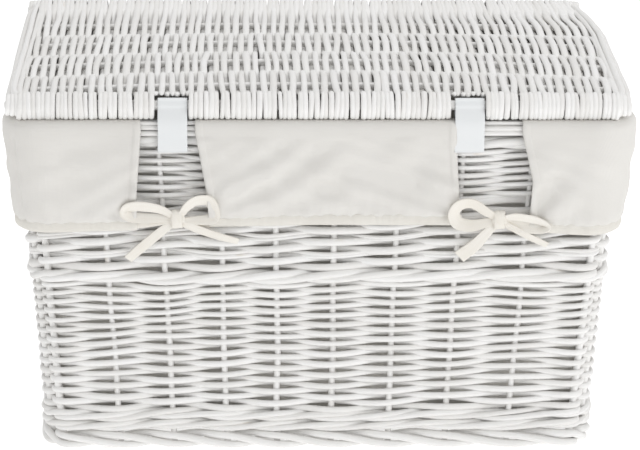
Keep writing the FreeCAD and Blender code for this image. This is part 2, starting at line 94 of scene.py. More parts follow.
# The uprights: eight stakes on each long side, six on each short side, and two posts in each corner.
POST = 28 / 90 * ARC
FRONT_STAKES = front_s(np.array([-201, -147, -92, -41, 14, 72, 130, 194]) * MM)
SIDE_STAKES = BREAKS[2] + SHORT / 2 + (np.arange(6) - 2.5) * 48 * MM
FAR_STAKES = BREAKS[4] + LONG / 2 + (np.arange(8) - 3.5) * 57 * MM
UPRIGHTS = np.concatenate(
    [
        FRONT_STAKES,
        [BREAKS[1] + POST, BREAKS[2] - POST],
        SIDE_STAKES,
        [BREAKS[3] + POST, BREAKS[4] - POST],
        FAR_STAKES,
        [BREAKS[5] + POST, BREAKS[6] - POST],
        SIDE_STAKES + BREAKS[6] - BREAKS[2],
        [BREAKS[7] + POST, ROUND - POST],
    ]
)
COUNT = len(UPRIGHTS)
POSTS = (8, 9, 16, 17, 26, 27, 34, 35)


def place(t):
    """The s of a count of uprights, which may be fractional."""
    turns, rest = np.divmod(t, COUNT)
    grid = np.append(UPRIGHTS, UPRIGHTS[0] + ROUND)
    return np.interp(rest, np.arange(COUNT + 1), grid) + turns * ROUND


class Field:
    """A smooth random field over the wall: a few waves in s and z."""

    def __init__(self, size, waves=7, most=16, tall=0.09):
        self.k = RNG.integers(2, most, waves)
        self.m = RNG.normal(0, 1 / tall, waves)
        self.p = RNG.uniform(0, TAU, waves)
        self.a = size * math.sqrt(2 / waves)

    def __call__(self, s, z):
        s, z = np.broadcast_arrays(s, z)
        turn = TAU * (s[..., None] * self.k / ROUND + z[..., None] * self.m) + self.p
        return self.a * np.sin(turn).sum(-1)


def wander(t, size, step=1.0):
    """Smooth noise along a rod: random values at each step, joined by cosines."""
    t = (np.asarray(t, float) - np.min(t)) / step
    values = RNG.normal(0, size, int(np.max(t)) + 3)
    i = np.floor(t).astype(int)
    f = (1 - np.cos(math.pi * (t - i))) / 2
    return values[i] * (1 - f) + values[i + 1] * f


def smooth_path(points, per=5, closed=False):
    """A Catmull-Rom curve through points."""
    p = np.asarray(points, float)
    if closed:
        p = np.concatenate([p[-1:], p, p[:2]])
    else:
        p = np.concatenate([2 * p[:1] - p[1:2], p, 2 * p[-1:] - p[-2:-1]])
    f = np.linspace(0, 1, per, endpoint=False)[:, None]
    out = []
    for a, b, c, d in zip(p, p[1:], p[2:], p[3:]):
        square, cube = 2 * a - 5 * b + 4 * c - d, 3 * b - a - 3 * c + d
        out.append(0.5 * (2 * b + (c - a) * f + square * f**2 + cube * f**3))
    out = np.concatenate(out)
    return out if closed else np.concatenate([out, p[-2:-1]])


# ---- mesh makers
def unit(v):
    return v / np.linalg.norm(v, axis=-1)[..., None]


def finish_mesh(name, points, faces, uvs, shades, material, body, nodes):
    """An object from arrays: points, lists of corner indices and of uvs per corner, and a shade per point."""
    mesh = bpy.data.meshes.new(name)
    mesh.vertices.add(len(points))
    mesh.vertices.foreach_set("co", np.asarray(points, np.float32).ravel())
    corners = np.concatenate([f.ravel() for f in faces]).astype(np.int32)
    sizes = np.concatenate([np.full(len(f), f.shape[1]) for f in faces])
    mesh.loops.add(len(corners))
    mesh.loops.foreach_set("vertex_index", corners)
    mesh.polygons.add(len(sizes))
    mesh.polygons.foreach_set("loop_start", (np.cumsum(sizes) - sizes).astype(np.int32))
    mesh.polygons.foreach_set("use_smooth", np.ones(len(sizes), bool))
    mesh.update(calc_edges=True)
    layer = mesh.uv_layers.new(name="UVMap")
    layer.uv.foreach_set("vector", np.concatenate([u.reshape(-1, 2) for u in uvs]).astype(np.float32).ravel())
    shade = mesh.attributes.new("shade", "FLOAT", "POINT")
    shade.data.foreach_set("value", np.asarray(shades, np.float32))
    mesh.materials.append(material)
    obj = bpy.data.objects.new(name, mesh)
    bpy.context.scene.collection.objects.link(obj)
    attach(obj, body)
    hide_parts(*nodes)
    return obj


class Rods:
    """Gathers rods into one mesh."""

    def __init__(self):
        self.points, self.shades, self.quads, self.quad_uvs = [], [], [], []
        self.caps, self.cap_uvs = {}, {}
        self.total = 0

    def add(self, path, deep, high, up, closed=False, sides=8, flat=0.0, ends=0.6):
        """A rod along a path; deep and high are its half sizes across and along the direction up.

        flat squares the section off, from 0, an ellipse, to about 0.8. ends is the size of the end rings."""
        path = np.asarray(path, float)
        deep, high = np.broadcast_to(deep, len(path)), np.broadcast_to(high, len(path))
        up = np.broadcast_to(np.asarray(up, float), path.shape)
        if not closed:
            # A smaller ring half a rod's depth past each end rounds it off.
            lead = path[0] + unit(path[0] - path[1]) * deep[0] * 0.5
            tail = path[-1] + unit(path[-1] - path[-2]) * deep[-1] * 0.5
            path = np.concatenate([[lead], path, [tail]])
            deep = np.concatenate([[deep[0] * ends], deep, [deep[-1] * ends]])
            high = np.concatenate([[high[0] * ends], high, [high[-1] * ends]])
            up = np.concatenate([up[:1], up, up[-1:]])
        n = len(path)
        if closed:
            ahead = np.roll(path, -1, 0) - np.roll(path, 1, 0)
        else:
            ahead = np.gradient(path, axis=0)
        ahead = unit(ahead)
        side = unit(np.cross(ahead, up))
        rise = np.cross(side, ahead)
        turn = np.arange(sides) * TAU / sides + math.pi / sides
        c, sn = np.cos(turn), np.sin(turn)
        power = 1 - flat
        c, sn = np.sign(c) * np.abs(c) ** power, np.sign(sn) * np.abs(sn) ** power
        ring = (
            path[:, None]
            + side[:, None] * (deep[:, None] * c)[..., None]
            + rise[:, None] * (high[:, None] * sn)[..., None]
        )
        gaps = np.linalg.norm(np.diff(np.concatenate([path, path[:1]]), axis=0), axis=1)
        run = np.concatenate([[0], np.cumsum(gaps)]) + RNG.uniform(0, 3)
        girth = (deep.mean() + high.mean()) * math.pi
        rows = n if closed else n - 1
        i, j = np.meshgrid(np.arange(rows), np.arange(sides), indexing="ij")
        i, j = i.ravel(), j.ravel()
        i2, j2 = (i + 1) % n, (j + 1) % sides
        quads = np.stack([i * sides + j, i2 * sides + j, i2 * sides + j2, i * sides + j2], 1) + self.total
        lift = RNG.uniform(0, 3)
        u1, u2 = run[i], run[i + 1]
        v1, v2 = j / sides * girth + lift, (j + 1) / sides * girth + lift
        self.quads.append(quads)
        self.quad_uvs.append(np.stack([u1, v1, u2, v1, u2, v2, u1, v2], 1))
        if not closed:
            first = np.arange(sides) + self.total
            last = (np.arange(sides) + (n - 1) * sides + self.total)[::-1]
            self.caps.setdefault(sides, []).extend([first, last])
            flat_uv = np.stack([run[0] + deep[0] * c, lift + high[0] * sn], 1)
            self.cap_uvs.setdefault(sides, []).extend([flat_uv, flat_uv[::-1]])
        self.points.append(ring.reshape(-1, 3))
        self.shades.append(np.full(n * sides, RNG.uniform(0, 1)))
        self.total += n * sides

    def build(self, name, material, body, nodes, slot):
        points, shades = np.concatenate(self.points), np.concatenate(self.shades)
        faces = [np.concatenate(self.quads)]
        uvs = [np.concatenate(self.quad_uvs)]
        for sides in self.caps:
            faces.append(np.stack(self.caps[sides]))
            uvs.append(np.concatenate(self.cap_uvs[sides]))
        return finish_mesh(name, points, faces, uvs, shades, material, body, nodes)


def cloth(name, grid, thick, material, body, nodes, closed=False):
    """A thin solid on both sides of a grid of points; closed joins its last column to the first."""
    rows, cols = grid.shape[:2]
    down = np.gradient(grid, axis=0)
    if closed:
        across = np.roll(grid, -1, 1) - np.roll(grid, 1, 1)
    else:
        across = np.gradient(grid, axis=1)
    normal = np.cross(down, across)
    normal /= np.linalg.norm(normal, axis=2)[..., None] + 1e-12
    outer, inner = grid + normal * thick / 2, grid - normal * thick / 2
    points = np.concatenate([outer.reshape(-1, 3), inner.reshape(-1, 3)])
    total = rows * cols
    spans = cols if closed else cols - 1
    i, j = np.meshgrid(np.arange(rows - 1), np.arange(spans), indexing="ij")
    i, j = i.ravel(), j.ravel()
    j2 = (j + 1) % cols
    a, b, c, d = i * cols + j, (i + 1) * cols + j, (i + 1) * cols + j2, i * cols + j2
    front = np.stack([a, b, c, d], 1)
    back = np.stack([d, c, b, a], 1) + total
    spacing = np.linalg.norm(across, axis=2)
    step_u = spacing.mean(0) / 2 if closed else spacing[:, :spans].mean(0)
    step_v = np.linalg.norm(down, axis=2).mean(1)
    u = np.concatenate([[0], np.cumsum(step_u)])
    v = np.concatenate([[0], np.cumsum(step_v)])
    uv = np.stack([u[j], v[i], u[j], v[i + 1], u[j + 1], v[i + 1], u[j + 1], v[i]], 1)
    uv_back = np.stack([u[j + 1], v[i], u[j + 1], v[i + 1], u[j], v[i + 1], u[j], v[i]], 1)
    faces, uvs = [front, back], [uv, uv_back]
    jj, foot = np.arange(spans), (rows - 1) * cols
    jn = (jj + 1) % cols
    edges = [(jn, jj), (foot + jj, foot + jn)]
    if not closed:
        ii = np.arange(rows - 1)
        edges.append((ii * cols, (ii + 1) * cols))
        edges.append(((ii + 1) * cols + cols - 1, ii * cols + cols - 1))
    for p, q in edges:
        strip = np.stack([q, p, p + total, q + total], 1)
        faces.append(strip)
        uvs.append(np.zeros((len(strip), 8)) + 0.5)
    return finish_mesh(name, points, faces, uvs, np.full(2 * total, 0.5), material, body, nodes)


# ---- materials
def nodes_of(name):
    material = bpy.data.materials.new(name)
    material.use_nodes = True
    tree = material.node_tree
    return material, tree, tree.nodes["Principled BSDF"]


def add_node(tree, kind, inputs=None, **settings):
    new = tree.nodes.new(kind)
    for key, value in settings.items():
        setattr(new, key, value)
    for key, value in (inputs or {}).items():
        if isinstance(value, bpy.types.NodeSocket):
            tree.links.new(value, new.inputs[key])
        else:
            new.inputs[key].default_value = value
    return new


def ramp(tree, factor, stops):
    new = add_node(tree, "ShaderNodeValToRGB", {"Fac": factor})
    while len(new.color_ramp.elements) < len(stops):
        new.color_ramp.elements.new(0.5)
    for element, (at, colour) in zip(new.color_ramp.elements, stops):
        element.position = at
        element.color = (*colour, 1)
    return new.outputs["Color"]


def mixed(tree, factor, a, b):
    new = add_node(tree, "ShaderNodeMix", data_type="RGBA")
    for key, value in ((0, factor), (6, a), (7, b)):
        if isinstance(value, bpy.types.NodeSocket):
            tree.links.new(value, new.inputs[key])
        else:
            new.inputs[key].default_value = value if key == 0 else (*value, 1)
    return new.outputs[2]


def textured(name):
    material, tree, shader = nodes_of(name)
    return material, tree, shader, add_node(tree, "ShaderNodeUVMap", uv_map="UVMap").outputs["UV"]


def noise(tree, uv, scale, detail):
    """Noise over the surface; its scale along and across the rod or cloth is per metre."""
    at = add_node(tree, "ShaderNodeMapping", {"Vector": uv, "Scale": (*scale, 1)}).outputs["Vector"]
    return add_node(tree, "ShaderNodeTexNoise", {"Vector": at, "Scale": 1.0, "Detail": detail}).outputs["Fac"]


def fade(tree, factor, start, end, first, last):
    """A grey that goes from first to last as the factor goes from start to end."""
    return ramp(tree, factor, [(start, (first,) * 3), (end, (last,) * 3)])


def math_of(tree, operation, a, b):
    return add_node(tree, "ShaderNodeMath", {0: a, 1: b}, operation=operation).outputs["Value"]


def roughness_range(tree, shader, factor, low, high):
    rough = add_node(tree, "ShaderNodeMapRange", {"Value": factor, "To Min": low, "To Max": high})
    tree.links.new(rough.outputs["Result"], shader.inputs["Roughness"])


def bumpy(tree, shader, height, strength, distance):
    bump = add_node(tree, "ShaderNodeBump", {"Height": height, "Strength": strength, "Distance": distance})
    tree.links.new(bump.outputs["Normal"], shader.inputs["Normal"])


# White paint differs a little from rod to rod, is thinner in the grain, and is worn to tan in spots.
PAINT_SHADES = [(0.0, (0.81, 0.80, 0.785)), (0.5, (0.85, 0.845, 0.835)), (1.0, (0.88, 0.875, 0.87))]
GRAIN_COLOUR, GRAIN_SCALE, GRAIN_SHARE = (0.70, 0.67, 0.61), (55, 900), 0.25
WORN_COLOUR, WORN_SCALE, WORN_SHARE = (0.64, 0.52, 0.38), (22, 90), 0.35
BAND_COLOURS = (0.755, 0.775, 0.785), (0.79, 0.805, 0.81)
THREAD, TAPE_THREAD = 0.6 * MM, 0.8 * MM  # from one thread of a weave to the next


def painted_willow():
    """White paint on willow: lengthwise grain, small knots, each rod a little different, worn in spots."""
    material, tree, shader, uv = textured("painted_willow")
    grain = noise(tree, uv, GRAIN_SCALE, 3.0)
    blotch = noise(tree, uv, WORN_SCALE, 2.0)
    shade = add_node(tree, "ShaderNodeAttribute", attribute_name="shade").outputs["Fac"]
    base = ramp(tree, shade, PAINT_SHADES)
    base = mixed(tree, fade(tree, grain, 0.30, 0.62, GRAIN_SHARE, 0.0), base, GRAIN_COLOUR)
    base = mixed(tree, fade(tree, blotch, 0.72, 0.80, 0.0, WORN_SHARE), base, WORN_COLOUR)
    tree.links.new(base, shader.inputs["Base Color"])
    roughness_range(tree, shader, blotch, 0.38, 0.56)
    bumpy(tree, shader, math_of(tree, "ADD", grain, blotch), 0.35, 0.6 * MM)
    shader.inputs["Specular IOR Level"].default_value = 0.4
    return material


def cotton(name, colour, shadow, thread):
    """Plain-woven cotton: warp and weft threads, slubs, and a soft change of tone."""
    material, tree, shader, uv = textured(name)
    settings = {"Vector": uv, "Scale": 1 / thread / 6.2832, "Distortion": 1.5, "Detail": 1.0}
    settings["Detail Scale"] = 0.4
    waves = []
    for direction in ("X", "Y"):
        waves.append(add_node(tree, "ShaderNodeTexWave", settings, bands_direction=direction).outputs["Fac"])
    weave = math_of(tree, "MULTIPLY", *waves)
    slub = noise(tree, uv, (60, 700), 2.0)
    tone = add_node(tree, "ShaderNodeTexNoise", {"Vector": uv, "Scale": 18.0, "Detail": 2.0}).outputs["Fac"]
    base = mixed(tree, fade(tree, tone, 0.35, 0.65, 0.0, 0.35), colour, shadow)
    base = mixed(tree, fade(tree, slub, 0.60, 0.72, 0.0, 0.30), base, shadow)
    base = mixed(tree, fade(tree, weave, 0.0, 0.5, 0.18, 0.0), base, shadow)
    tree.links.new(base, shader.inputs["Base Color"])
    bumpy(tree, shader, math_of(tree, "ADD", weave, slub), 0.3, 0.4 * MM)
    shader.inputs["Roughness"].default_value = 0.85
    shader.inputs["Specular IOR Level"].default_value = 0.25
    shader.inputs["Sheen Weight"].default_value = 0.15
    return material


def band_leather():
    """Smooth white coated leather with a fine pebble grain."""
    material, tree, shader, uv = textured("band_leather")
    cells = add_node(tree, "ShaderNodeTexVoronoi", {"Vector": uv, "Scale": 900.0}).outputs["Distance"]
    cloud = add_node(tree, "ShaderNodeTexNoise", {"Vector": uv, "Scale": 60.0, "Detail": 2.0}).outputs["Fac"]
    tree.links.new(mixed(tree, cloud, *BAND_COLOURS), shader.inputs["Base Color"])
    bumpy(tree, shader, cells, 0.15, 0.2 * MM)
    roughness_range(tree, shader, cloud, 0.30, 0.42)
    return material


WILLOW = painted_willow()
COTTON = cotton("liner_cotton", (0.735, 0.72, 0.69), (0.675, 0.655, 0.62), THREAD)
HEM = cotton("hem_cotton", (0.76, 0.74, 0.69), (0.68, 0.65, 0.595), THREAD)
TAPE = cotton("tie_tape", (0.83, 0.805, 0.755), (0.72, 0.67, 0.58), TAPE_THREAD)
BAND = band_leather()

# ---- uprights
ALONG_X, ALONG_Y, UP = np.eye(3)
MIDDLE = -WALL / 2  # the uprights' line, out from the wall's outer face
POST_RADIUS = 3.5 * MM
# Some stakes have a second, shorter and thinner one beside them.
SECOND_CHANCE, SECOND_BESIDE = 0.25, 5.2 * MM
sway = Field(1.2 * MM)


def upright(rods, s, low, high, radius, shift=0.0):
    z = np.linspace(low, high, 26)
    lean = wander(z, 0.5 * MM, 0.05)
    path = wall(s + shift + lean, z, MIDDLE + wander(z, 0.3 * MM, 0.06))
    thick = radius * (1.08 - 0.16 * (z - low) / (high - low)) * (1 + wander(z, 0.03, 0.04))
    ahead = wall(s + 1 * MM, 0.1, MIDDLE) - wall(s, 0.1, MIDDLE)
    rods.add(path, thick, thick, ahead)


stakes, posts = Rods(), Rods()
foot, head = (corner.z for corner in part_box("side_stakes"))
for number, s in enumerate(UPRIGHTS):
    if number in POSTS:
        upright(posts, s, foot, head, POST_RADIUS)
    else:
        upright(stakes, s, foot, head, STAKE * RNG.uniform(0.9, 1.12))
        if RNG.uniform() < SECOND_CHANCE:
            upright(stakes, s, foot, RNG.uniform(0.09, 0.17), STAKE * 0.85, SECOND_BESIDE)
stakes.build("willow_side_stakes", WILLOW, "basket", ["side_stakes"], "willow_rods")
posts.build("willow_corner_posts", WILLOW, "basket", ["corner_posts"], "willow_rods")

# ---- side weaving
PER = 8  # samples from one upright to the next
STRANDS = 3  # rods in a wale


def stand_off(deep):
    """How far a rod's middle is from the uprights' line where it passes one, pressed a little into it."""
    return 0.8 * STAKE + 0.85 * deep


def row(rods, level, phase, high, deep, start, span, slant, loose):
    """One rod of plain weave, in front of one upright and behind the next."""
    t = np.arange(start * PER, (start + span) * PER + 1) / PER
    s = place(t)
    # Where two uprights are close, the rod can't bend as far.
    gap = (place(np.floor(t) + 1) - place(np.floor(t))) / (20 * MM)
    reach = stand_off(deep) * np.clip(gap, 0.75, 1)
    z = level + sway(s, level) + wander(t, loose) + slant * np.sin(math.pi * (t + phase))
    out = MIDDLE + reach * np.cos(math.pi * (t + phase)) + wander(t, 0.25 * MM)
    butt, tip = (1.1, 0.88) if RNG.uniform() < 0.5 else (0.88, 1.1)
    taper = np.linspace(butt, tip, len(t)) * (1 + wander(t, 0.05, 2.0))
    rods.add(wall(s, z, out), deep * taper, high * taper, UP)


def plain_weave(rods, low, high, pitches, fullness, slant, loose, doubles):
    """Rows from a low to a high level. pitches gives the row height at each end, and fullness how much of it
    a rod fills; doubles is the share of rows that are two thinner rods."""
    levels = [low]
    while levels[-1] < high:
        f = (levels[-1] - low) / (high - low)
        levels.append(levels[-1] + pitches[0] * (1 - f) + pitches[1] * f)
    levels = np.array(levels)
    levels = low + (levels - low) * (high - low) / (levels[-1] - low)
    for k, (bottom, top) in enumerate(zip(levels, levels[1:])):
        height, middle = top - bottom, (bottom + top) / 2
        # Rods meet end to end behind an upright.
        start = int(RNG.integers(0, COUNT))
        start += (start + k + 1) % 2
        first = int(RNG.integers(6, 13)) * 2
        share = k / (len(levels) - 2)
        half_high = height * (fullness[0] * (1 - share) + fullness[1] * share) / 2
        for begin, span in ((start, first), (start + first, COUNT - first)):
            if RNG.uniform() < doubles:
                thin = half_high * 0.56
                for part in (-0.27, 0.27):
                    row(rods, middle + part * height, k, thin, thin, begin, span, slant, loose)
            else:
                row(rods, middle, k, half_high, half_high * 0.8, begin, span, slant, loose)


def wale(rods, level, rise, high, deep, bias=0.35, sharp=1.8, phase=0.0, loose=0.5, wave=0.7):
    """Strands that each go in front of two uprights and behind the next, climbing by twice the rise in front.

    Lengths are in millimetres but for the level. bias lengthens the stretch in front, sharp shortens the
    crossing from front to back, loose and wave are how much each rod and the whole wale go up and down."""
    rise, high, deep, loose = (size * MM for size in (rise, high, deep, loose))
    for strand in range(STRANDS):
        # A strand begins and ends behind an upright of the far side.
        start = 21 // STRANDS * STRANDS + strand - phase
        span = STRANDS * round(COUNT / STRANDS)
        t = np.arange(round(start * PER), round((start + span) * PER) + 1) / PER
        s = place(t)
        u = TAU * (t - strand + phase) / STRANDS
        out = MIDDLE + stand_off(deep) * np.tanh(sharp * (bias - np.cos(u))) + wander(t, 0.3 * MM)
        z = level + sway(s, level) * wave - rise * np.sin(u) + wander(t, loose)
        taper = 1 + wander(t, 0.07, 2.5)
        rods.add(wall(s, z, out), deep * taper, high * taper, UP)


# Node, piece, how far the rows start and end above the node's bottom and top, pitches and fullness at both
# ends, slant, looseness and the share of doubles; lengths in millimetres. The hem hangs 4 mm higher than its
# CAD solid, so the thick rows go up as far.
for node, piece, below, above, pitches, fullness, slant, loose, doubles in (
    ("lower_side_weave", "willow_lower_weave", 0, 0, (6.5, 4.2), (1.0, 1.2), 0.5, 0.30, 0.04),
    ("upper_side_weave", "willow_upper_weave", 0, 4, (6.7, 6.7), (1.14, 1.14), 1.2, 0.6, 0.15),
    ("top_side_weave", "willow_top_weave", 4, -1, (4.6, 4.2), (1.16, 1.16), 0.5, 0.3, 0.04),
):
    low, high = (corner.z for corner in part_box(node))
    rods = Rods()
    pitches = [pitch * MM for pitch in pitches]
    plain_weave(rods, low + below * MM, high + above * MM, pitches, fullness, slant * MM, loose * MM, doubles)
    rods.build(piece, WILLOW, "basket", [node], "willow_weave")

# Each wale's place is a share of its node's height, with millimetres more.
WALES = {
    "middle_wale": [(0.5, 0, dict(rise=3.1, high=3.7, deep=3.5))],
    "bottom_wale": [
        (0.27, 0, dict(rise=2.7, high=3.0, deep=3.2, phase=1.0)),
        (0.77, 0, dict(rise=2.7, high=3.0, deep=3.2)),
    ],
    "foot_border": [
        (0, 9.4, dict(rise=-5.3, high=3.6, deep=3.9, bias=0.30, sharp=2.4, loose=0.12, wave=0.1)),
    ],
    "rim_border": [(0, 6.0, dict(rise=2.3, high=3.9, deep=3.4, loose=0.3))],
}
RIM_HOOPS = ((15.5, 2.6, (1.0, -5.0, -11.0)), (20.5, 2.4, (0.8, -4.6, -10.4)), (24.2, 2.1, (-2.0, -7.5)))
for node, wales in WALES.items():
    low, high = (corner.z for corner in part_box(node))
    rods = Rods()
    for share, more, shape in wales:
        wale(rods, low + share * (high - low) + more * MM, **shape)
    if node == "rim_border":
        # Rods laid along the rim's top: their level, radius, and places out from the wall's outer face.
        for level, radius, outs in RIM_HOOPS:
            for number, out in enumerate(outs):
                t = np.arange(0, COUNT * PER) / PER
                z = low + level * MM + 0.5 * MM * np.sin(TAU * t / 4 + number * 2 + level)
                path = wall(place(t), z, out * MM + 0.7 * MM * np.cos(TAU * t / 4 + number + level))
                rods.add(path, radius * MM, radius * MM * 0.95, UP, closed=True)
    rods.build("willow_" + node, WILLOW, "basket", [node], "willow_weave")

# ---- base
base_box, stick_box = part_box("base_weave"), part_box("base_sticks")
BASE_STICK = 3.5 * MM
BASE_STICKS = np.linspace(stick_box[0].y + BASE_STICK, stick_box[1].y - BASE_STICK, 5)
BASE_PITCH, BASE_WAVE = 6.2 * MM, 4.2 * MM
BASE_CORNER, BASE_EDGE = 20 * MM, 6 * MM
mid = (stick_box[0].z + stick_box[1].z) / 2

rods = Rods()
for y in BASE_STICKS:
    x = np.linspace(stick_box[0].x, stick_box[1].x, 40)
    path = np.stack([x, y + wander(x, 0.6 * MM, 0.05), mid + 0 * x], 1)
    thick = BASE_STICK * (1 + wander(x, 0.04, 0.05))
    rods.add(path, thick, thick, UP)
rods.build("willow_base_sticks", WILLOW, "basket", ["base_sticks"], "willow_rods")

rods = Rods()
base_count = int((base_box[1].x - base_box[0].x - 10 * MM) / BASE_PITCH)
for k in range(base_count):
    x = base_box[0].x + BASE_EDGE + (k + 0.5) * BASE_PITCH
    inset = max(0.0, abs(x) - (base_box[1].x - BASE_CORNER))
    rounded = BASE_CORNER - math.sqrt(max(BASE_CORNER**2 - inset**2, 0))
    reach = base_box[1].y - 2.5 * MM - rounded
    keys = np.concatenate([[-reach], BASE_STICKS, [reach]])
    last = len(keys) - 1
    at = np.linspace(0, last, 8 * last + 1)
    y = np.interp(at, np.arange(last + 1), keys)
    z = mid + BASE_WAVE * np.cos(math.pi * (at + k)) * np.clip(np.minimum(at, last - at) * 2, 0.3, 1)
    path = np.stack([x + wander(y, 0.6 * MM, 0.05), y, z], 1)
    rods.add(path, 2.6 * MM, 2.9 * MM * (1 + wander(y, 0.04, 0.04)), ALONG_X)
rods.build("willow_base_weave", WILLOW, "basket", ["base_weave"], "willow_weave")

# ---- lid
hinge_rod, far_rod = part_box("lid_hinge_rod"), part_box("lid_far_rod")
AXIS_Y = (hinge_rod[0].y + hinge_rod[1].y) / 2
FAR_Y = (far_rod[0].y + far_rod[1].y) / 2
AXIS_Z = (hinge_rod[0].z + hinge_rod[1].z) / 2
wrap_low, wrap_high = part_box("lid_hinge_wrap")
LID_HALF = wrap_high.x
ROLL = (wrap_high.z - wrap_low.z) / 2
sticks_low, sticks_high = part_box("lid_sticks")
STICK_R = (sticks_high.z - sticks_low.z) / 2
STICKS = np.linspace(sticks_low.y + STICK_R, sticks_high.y - STICK_R, 4)
BANDS = [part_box("hinge_band_left"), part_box("hinge_band_right")]
BORDER_ROD, SIDE_ROD = 4.7 * MM, 4.6 * MM
WEAVERS, WEAVER = 122, 2.35 * MM  # how many weavers, and their half thickness
BARE_PAST = 3.6 * MM  # how far past a band's edges the border rod stays bare
BARE_TIP = 8.9 * MM  # how far from the hinge's axis a weaver behind a band ends
EDGE_IN = 14 * MM  # from the lid's end to its first weaver
ROUND_ROLL = (-40, -65, -90, -120, -150, 180, 150, 120, 90, 62)  # the wrap's course round the hinge-side rod
ROUND_FAR = (118, 90, 60, 30, 0, -30, -60, -90, -115, -140)
BELOW = {-65: 1.0, -90: 2.2, -120: 1.6}  # how much further the roll reaches underneath, by angle


def end_inset(x, y):
    """How far the lid's ends draw in: the far right corner most, and the hinge-side corners a little."""
    right = np.interp(y / MM, [-180, -150, -60, 60, 100, 140, 180], [9, 5.5, 3, 1, 4, 9, 15])
    left = np.interp(y / MM, [-180, -150, 180], [5, 3, 1])
    share = np.clip(np.abs(x) / LID_HALF, 0, 1) ** 3
    return np.sign(x) * np.where(np.asarray(x) > 0, right, left) * MM * share


def crown(x, y):
    """How far the lid's middle stands above its edges."""
    rise = np.interp(y / MM, [-180, -160, -100, -20, 64, 140, 180], [0.6, 3.6, 8.5, 6.2, 4.2, 1.5, 0])
    return rise * MM * (1 - (x / LID_HALF) ** 2)


def on_circle(y, radius, angle):
    """A point in the plane of y and z, at an angle round a border rod."""
    a = math.radians(angle)
    return y + radius * math.cos(a), AXIS_Z + radius * math.sin(a)


def straight_rod(rods, start, end, radius, up, bend=0.5 * MM, crowned=False):
    f = np.linspace(0, 1, 40)[:, None]
    path = np.array(start) * (1 - f) + np.array(end) * f
    path[:, 0] -= end_inset(path[:, 0], path[:, 1])
    if crowned:
        path[:, 2] += crown(path[:, 0], path[:, 1])
    path = path + np.outer(wander(f[:, 0], bend, 0.12), up)
    thick = radius * (1 + wander(f[:, 0], 0.03, 0.1))
    rods.add(path, thick, thick, up)


for name, y in (("lid_hinge_rod", AXIS_Y), ("lid_far_rod", FAR_Y)):
    rods = Rods()
    end = LID_HALF - 2 * MM
    straight_rod(rods, (-end, y, AXIS_Z), (end, y, AXIS_Z), BORDER_ROD, UP, 0.05 * MM)
    rods.build("willow_" + name, WILLOW, "lid", [name], "willow_rods")

rods = Rods()
for y in STICKS:
    start, end = (sticks_low.x, y, AXIS_Z), (sticks_high.x, y, AXIS_Z)
    straight_rod(rods, start, end, STICK_R, ALONG_Y, 0.8 * MM, crowned=True)
rods.build("willow_lid_sticks", WILLOW, "lid", ["lid_sticks"], "willow_rods")

